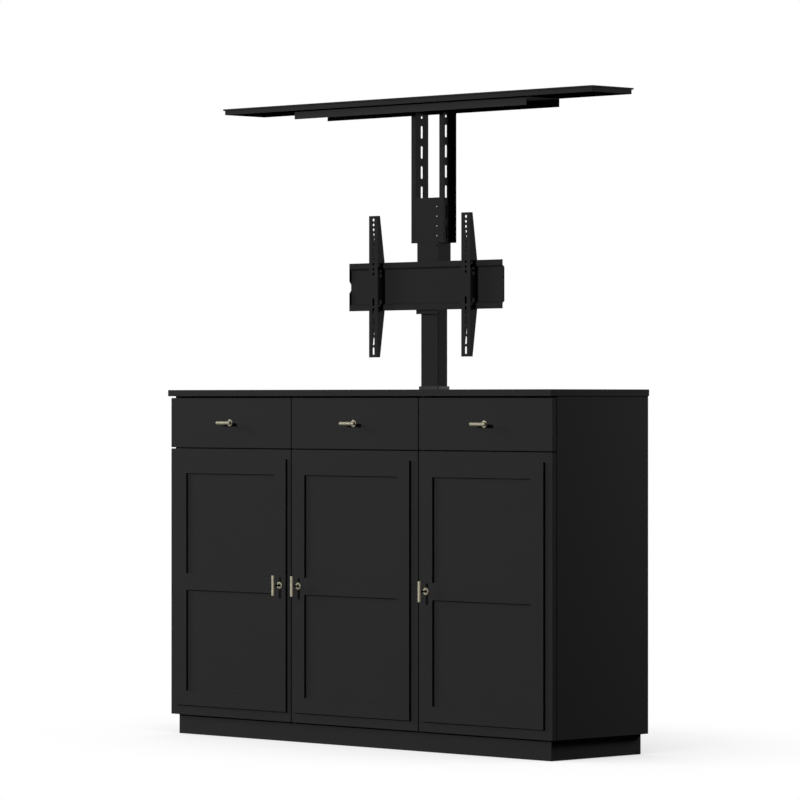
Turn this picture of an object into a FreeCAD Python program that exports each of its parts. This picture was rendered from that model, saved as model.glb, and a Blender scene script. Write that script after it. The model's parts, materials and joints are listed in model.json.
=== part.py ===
"""TV lift cabinet: a sideboard with three drawers over three doors and a motorised TV lift.

Millimetres, +Z up, +X to the right and -Y towards whoever opens the doors.  The origin is on
the floor, under the middle of the cabinet's footprint.  The lift is modelled fully raised, with
the drawers and doors shut.  Depths are counted from the plane of the drawer fronts.
"""
import FreeCAD, Part
import Sketcher
import os

AXIS = {"x": FreeCAD.Vector(1, 0, 0), "y": FreeCAD.Vector(0, 1, 0), "z": FreeCAD.Vector(0, 0, 1)}
BAYS = ("left", "middle", "right")
SIDES = (("left", -1), ("right", 1))

SIZES = {
    # carcass
    "cabinet_width": 1592,
    "cabinet_depth": 400,
    "cabinet_height": 1044,
    "board_thick": 18,
    "back_thick": 9,
    "top_thick": 19,
    "top_side_overhang": 4,
    "top_front_overhang": 10,
    "plinth_height": 59,
    "plinth_side_inset": 19,
    "plinth_front_inset": 16,
    "plinth_back_inset": 11,
    "bay_front": 186,
    "shelf_level": 452,
    "shelf_side_gap": 1,
    "shelf_front_gap": 12,
    "angle_leg": 14,
    "angle_width": 12,
    "angle_thick": 1.5,
    "angle_setback": 32,
    # fronts
    "front_thick": 16,
    "front_gap": 2,
    "front_reveal": 3.5,
    "drawer_front_height": 150,
    "drawer_top_gap": 5,
    # raised frame on each door
    "frame_thick": 8,
    "frame_hinge_margin": 28,
    "frame_handle_margin": 14.4,
    "frame_top_margin": 28,
    "frame_bottom_margin": 29.5,
    "stile_width": 48,
    "top_rail_width": 47,
    "middle_rail_width": 50,
    "bottom_rail_width": 45,
    "middle_rail_level": 463.5,
    # T-bar handles
    "bar_length": 60,
    "bar_diameter": 10.5,
    "post_diameter": 8,
    "handle_reach": 27.5,
    "rose_diameter": 21,
    "rose_thick": 3,
    # drawer boxes and their side runners
    "drawer_board": 12,
    "drawer_side_height": 100,
    "drawer_box_depth": 136,
    "drawer_base_thick": 6,
    "drawer_base_raise": 10,
    "drawer_lift": 13,
    "runner_space": 12.7,
    "runner_height": 35,
    "runner_sheet": 1.5,
    "runner_length": 130,
    "runner_raise": 30,
    "runner_play": 0.3,
    # concealed hinges
    "cup_diameter": 35,
    "cup_depth": 11.5,
    "cup_wall": 1.5,
    "cup_setback": 22.5,
    "cup_flange_thick": 1.2,
    "cup_flange_width": 52,
    "cup_play": 0.1,
    "hinge_play": 0.3,
    "hinge_end_distance": 100,
    "hinge_arm_length": 64,
    "hinge_arm_thick": 11,
    "hinge_arm_height": 16,
    "hinge_foot_thick": 2,
    "hinge_foot_height": 50,
    "hinge_foot_length": 36,
    # lid
    "lid_side_margin": 25,
    "lid_depth": 175,
    "lid_front": 191,
    "lid_thick": 18,
    "lid_lip_thick": 5,
    "lid_lip_overhang": 4.2,
    "lid_gap": 2.5,
    "lid_seat_gap": 0.5,
    # steel tray and uprights under the lid
    "sheet": 2,
    "tray_length": 968,
    "tray_depth": 140.5,
    "tray_front": 221,
    "tray_height": 24,
    "upright_gap": 99,
    "upright_front": 304.6,
    "upright_depth": 54.4,
    "upright_flange": 18,
    "upright_length": 406,
    "slot_width": 9.5,
    "slot_length": 38.5,
    "slot_pitch": 60,
    "slot_first": 74.6,
    "pilot_hole": 8,
    "pilot_drop": 30.6,
    # head bracket
    "head_sheet": 1.5,
    "head_overlap": 134,
    "neck_width": 88,
    "neck_rise": 20,
    "neck_drop": 190,
    "pad_width": 89,
    "pad_height": 151,
    "pad_drop": 211,
    "hole_row": 39,
    "hole_diameter": 7,
    "hole_pitch": 28.8,
    "hole_first": 8.3,
    # TV plate and its two arms
    "plate_length": 640,
    "plate_height": 143.5,
    "plate_front": 292.7,
    "plate_step": 7.5,
    "plate_lip": 16,
    "plate_slope": 6,
    "plate_drop": 127.2,
    "notch_mouth": 37,
    "notch_root": 18,
    "arm_width": 37.5,
    "arm_centre": 193.2,
    "arm_length": 423.4,
    "arm_front": 270,
    "arm_depth": 29.7,
    "arm_end_depth": 10,
    "hook_length": 12.5,
    "hook_play": 0.3,
    "arm_hole": 9,
    "arm_hole_count": 12,
    "arm_hole_pitch": 14.7,
    "arm_hole_first": 12,
    "arm_slot_count": 6,
    "arm_slot_length": 24,
    "arm_slot_pitch": 29.4,
    "arm_slot_first": 18.8,
    # telescopic column
    "column_centre": 333.6,
    "inner_tube_width": 73,
    "inner_tube_depth": 41,
    "tube_wall": 1.5,
    "tube_gap": 1,
    "tube_corner": 4,
    "tube_overlap": 52.5,
    "guide_play": 0.3,
    "cap_thick": 3,
    "cap_rise": 12,
    "collar_height": 12,
    "collar_show": 10.5,
    "collar_rim": 2.2,
    "bush_height": 5,
    "stage_gap": 0.5,
    # drive at the foot of the column
    "base_width": 310,
    "base_depth": 100,
    "base_thick": 5,
    "housing_height": 30,
    "housing_width": 160,
    "housing_depth": 66,
    "housing_offset": 32,
    "housing_corner": 10,
    "motor_diameter": 54,
    "motor_length": 130,
    "motor_offset": 76,
    "motor_cap_diameter": 46,
    "motor_cap_length": 12,
    "screw_diameter": 12,
    "screw_length": 499,
    "screw_seat": 12,
    "screw_play": 0.3,
    "nut_height": 12,
    "stage_foot_gap": 2,
    "control_length": 200,
    "control_depth": 70,
    "control_height": 38,
    "control_left": -430,
    "inlet_width": 28,
    "inlet_height": 20,
    "inlet_depth": 14,
}


class Size:
    """A length that carries both its number and the sheet expression that gives it."""

    def __init__(self, text, number):
        self.text = text
        self.number = number

    def _with(self, other, sign, swapped=False):
        other = size(other)
        first, second = (other, self) if swapped else (self, other)
        results = {
            "+": lambda: first.number + second.number,
            "-": lambda: first.number - second.number,
            "*": lambda: first.number * second.number,
            "/": lambda: first.number / second.number,
        }
        return Size(f"({first.text} {sign} {second.text})", results[sign]())

    def __add__(self, other):
        return self._with(other, "+")

    def __radd__(self, other):
        return self._with(other, "+", True)

    def __sub__(self, other):
        return self._with(other, "-")

    def __rsub__(self, other):
        return self._with(other, "-", True)

    def __mul__(self, other):
        return self._with(other, "*")

    def __rmul__(self, other):
        return self._with(other, "*", True)

    def __truediv__(self, other):
        return self._with(other, "/")

    def __neg__(self):
        return 0 - self


def size(value):
    """The value as a Size, so that plain numbers mix with sheet lengths."""
    if isinstance(value, Size):
        return value
    return Size(f"{value:.6f}", value)


class Sheet:
    """The driving dimensions: one attribute for each alias of the spreadsheet."""

    def __init__(self, document, numbers):
        cells = document.addObject("Spreadsheet::Sheet", "dims")
        for row, (alias, number) in enumerate(numbers.items(), start=1):
            cells.set(f"A{row}", alias)
            cells.set(f"B{row}", str(number))
            cells.setAlias(f"B{row}", alias)
            setattr(self, alias, Size(f"dims.{alias}", number))
        document.recompute()


doc = FreeCAD.newDocument("tv_lift_cabinet")
d = Sheet(doc, SIZES)
nodes = []


# ---------------------------------------------------------------- derived levels and depths

handle_depth = d.frame_thick + d.handle_reach + d.bar_diameter / 2
front_y = (handle_depth - d.cabinet_depth) / 2
half_width = d.cabinet_width / 2
carcass_front = front_y + d.front_thick + d.front_gap
back_y = front_y + d.cabinet_depth
divider_back = front_y + d.bay_front
divider_front = divider_back - d.board_thick
inner_half = half_width - d.board_thick
floor_top = d.plinth_height + d.board_thick
top_under = d.cabinet_height - d.top_thick

bay_pitch = (d.cabinet_width + d.front_reveal) / 3
front_width = bay_pitch - d.front_reveal
drawer_top = top_under - d.drawer_top_gap
drawer_bottom = drawer_top - d.drawer_front_height
door_top = drawer_bottom - d.front_reveal
door_bottom = d.plinth_height
door_height = door_top - door_bottom
rail_bottom = drawer_bottom - (d.front_reveal + d.board_thick) / 2
rail_top = rail_bottom + d.board_thick

# The lift travels as far as the column lets it: fully up, the middle tube still holds the foot
# of the inner one.
base_top = floor_top + d.base_thick
housing_top = base_top + d.housing_height
collar_top = d.cabinet_height + d.collar_show
collar_foot = collar_top - d.collar_height
inner_foot = collar_foot - d.tube_overlap
lift_travel = inner_foot - housing_top - 2 * d.stage_foot_gap - d.nut_height
stage_travel = lift_travel / 2

lid_top = d.cabinet_height + lift_travel
lid_under = lid_top - d.lid_thick
lid_y = front_y + d.lid_front
lid_half = half_width - d.lid_side_margin
tray_y = front_y + d.tray_front
upright_y = front_y + d.upright_front
upright_top = lid_under - d.sheet
upright_foot = upright_top - d.upright_length
head_top = upright_foot + d.head_overlap
neck_y = upright_y + d.head_sheet
plate_y = front_y + d.plate_front
plate_level = upright_foot - d.plate_drop
web_y = plate_y + d.plate_step
arm_y = front_y + d.arm_front

column_y = front_y + d.column_centre
middle_tube_width = d.inner_tube_width + 2 * (d.tube_wall + d.tube_gap)
middle_tube_depth = d.inner_tube_depth + 2 * (d.tube_wall + d.tube_gap)
outer_tube_width = middle_tube_width + 2 * (d.tube_wall + d.tube_gap)
outer_tube_depth = middle_tube_depth + 2 * (d.tube_wall + d.tube_gap)
cap_top = upright_foot + d.cap_rise
cap_under = cap_top - d.cap_thick
middle_foot = housing_top + d.stage_foot_gap + stage_travel
bush_top = collar_foot - stage_travel - d.stage_gap
bush_foot = bush_top - d.bush_height


# ---------------------------------------------------------------- small makers


def bind(item, prop, value):
    """Tie one property to its sheet expression."""
    item.setExpression(prop, size(value).text)


def place(item, x, y, z):
    bind(item, "Placement.Base.x", x)
    bind(item, "Placement.Base.y", y)
    bind(item, "Placement.Base.z", z)


def box(x_span, y_span, z_span, label="block"):
    """A box given by where it starts and ends along each axis."""
    item = doc.addObject("Part::Box", label)
    bind(item, "Length", x_span[1] - x_span[0])
    bind(item, "Width", y_span[1] - y_span[0])
    bind(item, "Height", z_span[1] - z_span[0])
    place(item, x_span[0], y_span[0], z_span[0])
    return item


def rod(diameter, start, length, axis="z", label="rod"):
    """A cylinder that starts at a point and runs along one axis."""
    item = doc.addObject("Part::Cylinder", label)
    bind(item, "Radius", diameter / 2)
    bind(item, "Height", length)
    item.Placement.Rotation = FreeCAD.Rotation(AXIS["z"], AXIS[axis])
    place(item, *start)
    return item


def cut(base, tools, label="cut"):
    item = doc.addObject("Part::Cut", label)
    item.Base = base
    item.Tool = tools[0] if len(tools) == 1 else fuse(tools)
    return item


def fuse(shapes, label="fuse"):
    item = doc.addObject("Part::MultiFuse", label)
    item.Shapes = shapes
    item.Refine = True
    return item


def group(shapes, label="group"):
    """Separate solids that share one node."""
    item = doc.addObject("Part::Compound", label)
    item.Links = shapes
    return item


def node(item, name):
    """Give a finished sub-part the name of its file."""
    item.Label = name
    nodes.append(item)
    return item


def spans(centre, width):
    return (centre - width / 2, centre + width / 2)


# ---------------------------------------------------------------- sketches and bodies

PLANES = {"z": "XY_Plane", "y": "XZ_Plane", "x": "YZ_Plane"}
OCTAGON_CORNER = 1 - 0.5 ** 0.5  # share of an octagon's width that each corner takes off


def new_body(label):
    return doc.addObject("PartDesign::Body", label)


def new_sketch(body, normal, level, label="outline"):
    """A sketch across one axis, at a level along it, on the body's own origin plane."""
    sketch = body.newObject("Sketcher::SketchObject", label)
    plane = next(f for f in body.Origin.OriginFeatures if f.Role == PLANES[normal])
    sketch.AttachmentSupport = [(plane, "")]
    sketch.MapMode = "FlatFace"
    level = size(level)
    bind(sketch, "AttachmentOffset.Base.z", -level if normal == "y" else level)
    return sketch


def fix_point(sketch, geometry, end, x, y):
    """Hold one point at its distances from the sketch origin."""
    for kind, value in (("DistanceX", size(x)), ("DistanceY", size(y))):
        index = sketch.addConstraint(Sketcher.Constraint(kind, -1, 1, geometry, end, value.number))
        sketch.setExpression(f"Constraints[{index}]", value.text)


def add_outline(sketch, points):
    """A closed outline of straight edges through points given in sheet lengths."""
    points = [(size(x), size(y)) for x, y in points]
    first = len(sketch.Geometry)
    count = len(points)
    for here, there in zip(points, points[1:] + points[:1]):
        start = FreeCAD.Vector(here[0].number, here[1].number, 0)
        stop = FreeCAD.Vector(there[0].number, there[1].number, 0)
        sketch.addGeometry(Part.LineSegment(start, stop))
    for step in range(count):
        following = first + (step + 1) % count
        sketch.addConstraint(Sketcher.Constraint("Coincident", first + step, 2, following, 1))
    for step, (x, y) in enumerate(points):
        fix_point(sketch, first + step, 1, x, y)


def add_rectangle(sketch, x_span, y_span):
    x0, x1 = x_span
    y0, y1 = y_span
    add_outline(sketch, [(x0, y0), (x1, y0), (x1, y1), (x0, y1)])


def add_circle(sketch, x, y, diameter):
    x, y, diameter = size(x), size(y), size(diameter)
    centre = FreeCAD.Vector(x.number, y.number, 0)
    index = sketch.addGeometry(Part.Circle(centre, AXIS["z"], diameter.number / 2))
    fix_point(sketch, index, 3, x, y)
    limit = sketch.addConstraint(Sketcher.Constraint("Diameter", index, diameter.number))
    sketch.setExpression(f"Constraints[{limit}]", diameter.text)


def add_slot(sketch, x, y, width, length):
    """An upright slot centred on a point. Each round end has the sides of an octagon, so that
    the many holes and slots of the sheet metal stay light."""
    x, y, width, length = size(x), size(y), size(width), size(length)
    side, end = width / 2, length / 2
    corner = width * OCTAGON_CORNER
    across = [side, side - corner, -side + corner, -side]
    along = [end - corner, end, end, end - corner]
    upper = [(x + u, y + v) for u, v in zip(across, along)]
    lower = [(x - u, y - v) for u, v in zip(across, along)]
    add_outline(sketch, upper + lower)


def add_pad(body, sketch, length):
    """Thicken a sketch towards the positive end of the axis that it lies across."""
    pad = body.newObject("PartDesign::Pad", "pad")
    pad.Profile = sketch
    bind(pad, "Length", length)
    across_y = abs(sketch.getGlobalPlacement().Rotation.multVec(AXIS["z"]).y) > 0.5
    pad.Reversed = across_y
    body.Tip = pad
    return pad


def add_through_cut(body, sketch):
    """Cut a sketch right through the body, both ways."""
    pocket = body.newObject("PartDesign::Pocket", "through_cut")
    pocket.Profile = sketch
    pocket.Type = "ThroughAll"
    pocket.Midplane = True
    body.Tip = pocket
    return pocket


def add_blind_cut(body, sketch, depth, towards_positive):
    """Cut a sketch to a depth, from its plane towards one end of the axis it lies across."""
    pocket = body.newObject("PartDesign::Pocket", "blind_cut")
    pocket.Profile = sketch
    bind(pocket, "Length", depth)
    normal = sketch.getGlobalPlacement().Rotation.multVec(AXIS["z"])
    normal_positive = normal.x + normal.y + normal.z > 0
    pocket.Reversed = normal_positive == towards_positive
    body.Tip = pocket
    return pocket


def add_row(body, feature, sketch, count, pitch):
    """Repeat a feature upwards or downwards at a pitch, along the sketch's vertical axis."""
    row = body.newObject("PartDesign::LinearPattern", "row")
    row.Originals = [feature]
    row.Direction = (sketch, ["V_Axis"])
    bind(row, "Length", abs_size(pitch) * (count - 1))
    bind(row, "Occurrences", count)
    row.Reversed = pitch.number < 0
    body.Tip = row
    return row


def abs_size(value):
    return -value if value.number < 0 else value


def round_uprights(body, radius, picks=lambda edge: True):
    """Round the vertical edges that a test picks."""
    doc.recompute()
    names = []
    for index, edge in enumerate(body.Shape.Edges, start=1):
        ends = [vertex.Point for vertex in edge.Vertexes]
        upright = len(ends) == 2 and (ends[1] - ends[0]).cross(AXIS["z"]).Length < 1e-6
        if upright and picks(edge):
            names.append(f"Edge{index}")
    solid = body.Tip
    fillet = body.newObject("PartDesign::Fillet", "round")
    fillet.Base = (solid, names)
    bind(fillet, "Radius", radius)
    body.Tip = fillet
    return fillet


# ---------------------------------------------------------------- plinth and carcass


def make_plinth():
    """Four boards, set back from the carcass, that carry it 59 mm off the floor."""
    half = half_width - d.plinth_side_inset
    front = front_y + d.plinth_front_inset
    back = back_y - d.plinth_back_inset
    height = (size(0), d.plinth_height)
    long_boards = [
        box((-half, half), (front, front + d.board_thick), height),
        box((-half, half), (back - d.board_thick, back), height),
    ]
    node(group(long_boards), "plinth_long_boards")
    ends = (front + d.board_thick, back - d.board_thick)
    end_boards = [
        box((-half, -half + d.board_thick), ends, height),
        box((half - d.board_thick, half), ends, height),
    ]
    node(group(end_boards), "plinth_end_boards")


def make_sides():
    height = (d.plinth_height, top_under)
    for name, sign in SIDES:
        faces = (inner_half * sign, half_width * sign)
        span = faces if sign > 0 else faces[::-1]
        node(box(span, (carcass_front, back_y), height), f"side_{name}")


def make_bottom():
    span = (-inner_half, inner_half)
    node(box(span, (carcass_front, back_y), (d.plinth_height, floor_top)), "bottom_panel")


def make_divider():
    """The upright board between the storage in front and the lift bay behind."""
    span = (-inner_half, inner_half)
    node(box(span, (divider_front, divider_back), (floor_top, top_under)), "bay_divider")


def make_partitions():
    for name, sign in SIDES:
        centre = bay_pitch / 2 * sign
        board = box(
            spans(centre, d.board_thick), (carcass_front, divider_front), (floor_top, top_under)
        )
        node(board, f"partition_{name}")


def bay_edges(index):
    """The left and right inner faces of one storage bay."""
    left = -inner_half if index == 0 else bay_pitch * (index - 1.5) + d.board_thick / 2
    right = inner_half if index == 2 else bay_pitch * (index - 0.5) - d.board_thick / 2
    return left, right


def make_drawer_rails():
    """The boards that part each drawer from the cupboard under it."""
    depth = (carcass_front, divider_front)
    rails = [box(bay_edges(index), depth, (rail_bottom, rail_top)) for index in range(3)]
    node(group(rails), "drawer_rails")


def make_shelves():
    """One loose shelf in each cupboard, on four small steel angles."""
    shelves = []
    angles = []
    depth = (carcass_front + d.shelf_front_gap, divider_front)
    rows = (depth[0] + d.angle_setback, depth[1] - d.angle_setback)
    level = (d.shelf_level, d.shelf_level + d.board_thick)
    for index in range(3):
        left, right = bay_edges(index)
        shelves.append(box((left + d.shelf_side_gap, right - d.shelf_side_gap), depth, level))
        for y in rows:
            angles.append(shelf_angle(left, 1, y))
            angles.append(shelf_angle(right, -1, y))
    node(group(shelves), "shelves")
    node(group(angles), "shelf_angles")


def shelf_angle(face, sign, y):
    """A bent angle: one leg against the upright board, the other under the shelf."""
    y_span = spans(y, d.angle_width)
    upright = box(
        ordered(face, face + d.angle_thick * sign), y_span,
        (d.shelf_level - d.angle_leg, d.shelf_level),
    )
    ledge = box(
        ordered(face, face + d.angle_leg * sign), y_span,
        (d.shelf_level - d.angle_thick, d.shelf_level),
    )
    return fuse([upright, ledge])


def make_back():
    span = (-inner_half, inner_half)
    node(box(span, (back_y - d.back_thick, back_y), (floor_top, top_under)), "back_panel")


def make_top():
    """The top board, with a stepped opening whose shoulder takes the lid's lip."""
    half = half_width + d.top_side_overhang
    half_mouth = lid_half + d.lid_gap
    mouth = (lid_y - d.lid_gap, lid_y + d.lid_depth + d.lid_gap)
    half_throat = half_mouth - d.lid_lip_overhang
    throat = (mouth[0] + d.lid_lip_overhang, mouth[1] - d.lid_lip_overhang)
    body = new_body("top")
    board = new_sketch(body, "z", top_under, "board")
    add_rectangle(board, (-half, half), (front_y - d.top_front_overhang, back_y))
    add_rectangle(board, (-half_throat, half_throat), throat)
    add_pad(body, board, d.top_thick)
    rebate = new_sketch(body, "z", d.cabinet_height, "rebate")
    add_rectangle(rebate, (-half_mouth, half_mouth), mouth)
    add_blind_cut(body, rebate, d.lid_lip_thick + d.lid_seat_gap, False)
    node(body, "top_panel")


# ---------------------------------------------------------------- handles


def make_handle(name, centre_x, face_y, level, upright):
    """A T-bar: a round bar on a post, which stands on a flat round rose."""
    axis = "z" if upright else "x"
    bar_y = face_y - d.handle_reach
    ends = {"x": centre_x, "z": level}
    ends[axis] = ends[axis] - d.bar_length / 2
    bar = rod(d.bar_diameter, (ends["x"], bar_y, ends["z"]), d.bar_length, axis)
    post = rod(d.post_diameter, (centre_x, bar_y, level), d.handle_reach - d.rose_thick, "y")
    grip = fuse([bar, post])
    rose = rod(d.rose_diameter, (centre_x, face_y - d.rose_thick, level), d.rose_thick, "y")
    node(group([grip, rose]), name)


# ---------------------------------------------------------------- drawers


def make_drawer(index, name):
    centre = bay_pitch * (index - 1)
    back = front_y + d.front_thick
    front = box(spans(centre, front_width), (front_y, back), (drawer_bottom, drawer_top))
    node(front, f"drawer_front_{name}")
    make_drawer_box(index, name, back)
    make_moving_runners(index, name, back)
    level = drawer_bottom + d.drawer_front_height / 2
    make_handle(f"drawer_handle_{name}", centre, front_y, level, False)


def drawer_box_faces(index):
    left, right = bay_edges(index)
    return left + d.runner_space, right - d.runner_space


def make_drawer_box(index, name, start):
    """Two sides, a front and a back board round a thin base that is let in above their edge."""
    left, right = drawer_box_faces(index)
    foot = rail_top + d.drawer_lift
    height = (foot, foot + d.drawer_side_height)
    stop = start + d.drawer_box_depth
    inner = (left + d.drawer_board, right - d.drawer_board)
    base_foot = foot + d.drawer_base_raise
    boards = [
        box((left, inner[0]), (start, stop), height),
        box((inner[1], right), (start, stop), height),
        box(inner, (start, start + d.drawer_board), height),
        box(inner, (stop - d.drawer_board, stop), height),
        box(
            inner,
            (start + d.drawer_board, stop - d.drawer_board),
            (base_foot, base_foot + d.drawer_base_thick),
        ),
    ]
    node(group(boards), f"drawer_box_{name}")


def runner_levels():
    foot = rail_top + d.drawer_lift + d.runner_raise
    return foot, foot + d.runner_height


def channel(face_x, opening, reach, y_span, z_span):
    """A sheet channel whose web stands at face_x and whose flanges reach sideways."""
    web_x = (face_x, face_x + d.runner_sheet)
    arms_x = (face_x, face_x + reach)
    if opening < 0:
        web_x = (face_x - d.runner_sheet, face_x)
        arms_x = (face_x - reach, face_x)
    low, high = z_span
    parts = [
        box(web_x, y_span, z_span),
        box(arms_x, y_span, (low, low + d.runner_sheet)),
        box(arms_x, y_span, (high - d.runner_sheet, high)),
    ]
    return fuse(parts)


def make_fixed_runners():
    """The channels screwed to the cabinet, three pairs, open towards the drawers."""
    y_span = (carcass_front, carcass_front + d.runner_length)
    reach = d.runner_space - d.runner_sheet - d.runner_play
    rails = []
    for index in range(3):
        left, right = bay_edges(index)
        rails.append(channel(left, 1, reach, y_span, runner_levels()))
        rails.append(channel(right, -1, reach, y_span, runner_levels()))
    node(group(rails), "fixed_runners")


def make_moving_runners(index, name, start):
    """The drawer's own pair of channels, which slide inside the fixed pair."""
    left, right = drawer_box_faces(index)
    low, high = runner_levels()
    inset = d.runner_sheet + d.runner_play
    z_span = (low + inset, high - inset)
    y_span = (start + d.front_gap, start + d.front_gap + d.runner_length)
    reach = d.runner_space - d.runner_sheet - d.runner_play
    pair = [channel(left, -1, reach, y_span, z_span), channel(right, 1, reach, y_span, z_span)]
    node(group(pair), f"drawer_runners_{name}")


# ---------------------------------------------------------------- doors


def door_hinge_sign(index):
    """The side that a door hangs from: the left door on its left, the others on their right."""
    return -1 if index == 0 else 1


def hinge_levels():
    return door_bottom + d.hinge_end_distance, door_top - d.hinge_end_distance


def make_door(index, name):
    centre = bay_pitch * (index - 1)
    sign = door_hinge_sign(index)
    hinge_edge = centre + front_width / 2 * sign
    cup_x = hinge_edge - d.cup_setback * sign
    make_door_panel(name, centre, cup_x)
    make_door_frame(name, centre, sign)
    make_hinge_cups(name, cup_x)
    handle_x = centre - (front_width / 2 - d.frame_handle_margin - d.stile_width / 2) * sign
    face_y = front_y - d.frame_thick
    make_handle(f"door_handle_{name}", handle_x, face_y, d.middle_rail_level, True)


def make_door_panel(name, centre, cup_x):
    """The door's slab, drilled from behind for two hinge cups."""
    back = front_y + d.front_thick
    slab = box(spans(centre, front_width), (front_y, back), (door_bottom, door_top))
    bore = d.cup_diameter + 2 * d.cup_play
    deep = d.cup_depth + d.cup_play
    cups = [rod(bore, (cup_x, back - deep, z), deep + 1, "y") for z in hinge_levels()]
    node(cut(slab, cups), f"door_panel_{name}")


def make_door_frame(name, centre, sign):
    """The raised frame on a door: two stiles and three rails round two open fields."""
    hinge_x = centre + (front_width / 2 - d.frame_hinge_margin) * sign
    handle_x = centre - (front_width / 2 - d.frame_handle_margin) * sign
    left, right = (hinge_x, handle_x) if sign < 0 else (handle_x, hinge_x)
    low = door_bottom + d.frame_bottom_margin
    high = door_top - d.frame_top_margin
    field_x = (left + d.stile_width, right - d.stile_width)
    rail = spans(d.middle_rail_level, d.middle_rail_width)
    body = new_body("frame")
    outline = new_sketch(body, "y", front_y - d.frame_thick)
    add_rectangle(outline, (left, right), (low, high))
    add_rectangle(outline, field_x, (low + d.bottom_rail_width, rail[0]))
    add_rectangle(outline, field_x, (rail[1], high - d.top_rail_width))
    add_pad(body, outline, d.frame_thick)
    node(body, f"door_frame_{name}")


def make_hinge_cups(name, cup_x):
    """Pressed steel cups let into the door, each with a flange on the door's back."""
    back = front_y + d.front_thick
    cups = []
    for level in hinge_levels():
        flange = box(
            spans(cup_x, d.cup_setback), (back, back + d.cup_flange_thick),
            spans(level, d.cup_flange_width),
        )
        shell = rod(d.cup_diameter, (cup_x, back - d.cup_depth, level), d.cup_depth, "y")
        hollow_depth = d.cup_depth - d.cup_wall + d.cup_flange_thick
        hollow_y = back - d.cup_depth + d.cup_wall
        hollow_width = d.cup_setback - 2 * d.cup_wall
        hollow = box(
            spans(cup_x, hollow_width), (hollow_y, hollow_y + hollow_depth + 1),
            spans(level, hollow_width),
        )
        cups.append(cut(fuse([shell, flange]), [hollow]))
    node(group(cups), f"hinge_cups_{name}")


def make_hinge_arms():
    """The hinge arms, each on a foot plate screwed to a side or a partition."""
    arms = []
    for index in range(3):
        sign = door_hinge_sign(index)
        face = bay_edges(index)[0 if sign < 0 else 1]
        cup_x = bay_pitch * (index - 1) + (front_width / 2 - d.cup_setback) * sign
        nose_y = front_y + d.front_thick + d.cup_flange_thick + d.hinge_play
        arm_stop = nose_y + d.hinge_arm_length
        foot_stop = arm_stop - d.hinge_arm_thick
        far = face - d.hinge_arm_thick * sign
        nose_far = cup_x - d.cup_setback / 2 * sign
        for level in hinge_levels():
            arm_z = spans(level, d.hinge_arm_height)
            foot = box(
                ordered(face, face - d.hinge_foot_thick * sign),
                (foot_stop - d.hinge_foot_length, foot_stop),
                spans(level, d.hinge_foot_height),
            )
            arm = box(ordered(face, far), (carcass_front, arm_stop), arm_z)
            nose = box(
                ordered(face - d.hinge_foot_thick * sign, nose_far),
                (nose_y, carcass_front + d.hinge_foot_thick),
                arm_z,
            )
            arms.append(fuse([foot, arm, nose]))
    node(group(arms), "hinge_arms")


def ordered(first, second):
    return (first, second) if first.number < second.number else (second, first)


# ---------------------------------------------------------------- lid, tray and uprights


def make_lid():
    """One board with a rebated edge: a thin lip overhangs a thicker core all round."""
    half = lid_half
    y_span = (lid_y, lid_y + d.lid_depth)
    inset = d.lid_lip_overhang
    core_y = (y_span[0] + inset, y_span[1] - inset)
    body = new_body("lid_board")
    core = new_sketch(body, "z", lid_under, "core")
    add_rectangle(core, (-half + inset, half - inset), core_y)
    add_pad(body, core, d.lid_thick)
    lip = new_sketch(body, "z", lid_top - d.lid_lip_thick, "lip")
    add_rectangle(lip, (-half, half), y_span)
    add_pad(body, lip, d.lid_lip_thick)
    node(body, "lid")


def make_tray():
    """A shallow inverted channel of sheet steel that carries the lid on the uprights."""
    y0 = tray_y
    y1 = tray_y + d.tray_depth
    z0 = lid_under - d.tray_height
    z1 = lid_under
    body = new_body("tray")
    profile = new_sketch(body, "x", -d.tray_length / 2, "profile")
    add_outline(profile, [
        (y0, z0), (y0 + d.sheet, z0), (y0 + d.sheet, z1 - d.sheet),
        (y1 - d.sheet, z1 - d.sheet), (y1 - d.sheet, z0), (y1, z0), (y1, z1), (y0, z1),
    ])
    add_pad(body, profile, d.tray_length)
    node(body, "lid_tray")


def make_upright(name, sign):
    """A channel that opens outwards, with a row of long slots down its web."""
    web = d.upright_gap / 2 * sign
    web_far = web + d.sheet * sign
    tip = web + d.upright_flange * sign
    y0 = upright_y
    y1 = upright_y + d.upright_depth
    body = new_body("upright")
    profile = new_sketch(body, "z", upright_foot, "profile")
    add_outline(profile, [
        (web, y0), (tip, y0), (tip, y0 + d.sheet), (web_far, y0 + d.sheet),
        (web_far, y1 - d.sheet), (tip, y1 - d.sheet), (tip, y1), (web, y1),
    ])
    add_pad(body, profile, d.upright_length)
    middle = (y0 + y1) / 2
    slots = new_sketch(body, "x", 0, "slot")
    add_slot(slots, middle, upright_top - d.slot_first, d.slot_width, d.slot_length)
    cutout = add_through_cut(body, slots)
    add_row(body, cutout, slots, 6, -d.slot_pitch)
    pilot = new_sketch(body, "x", 0, "pilot")
    add_circle(pilot, middle, upright_top - d.pilot_drop, d.pilot_hole)
    add_through_cut(body, pilot)
    node(body, f"upright_{name}")


# ---------------------------------------------------------------- head bracket


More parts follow.
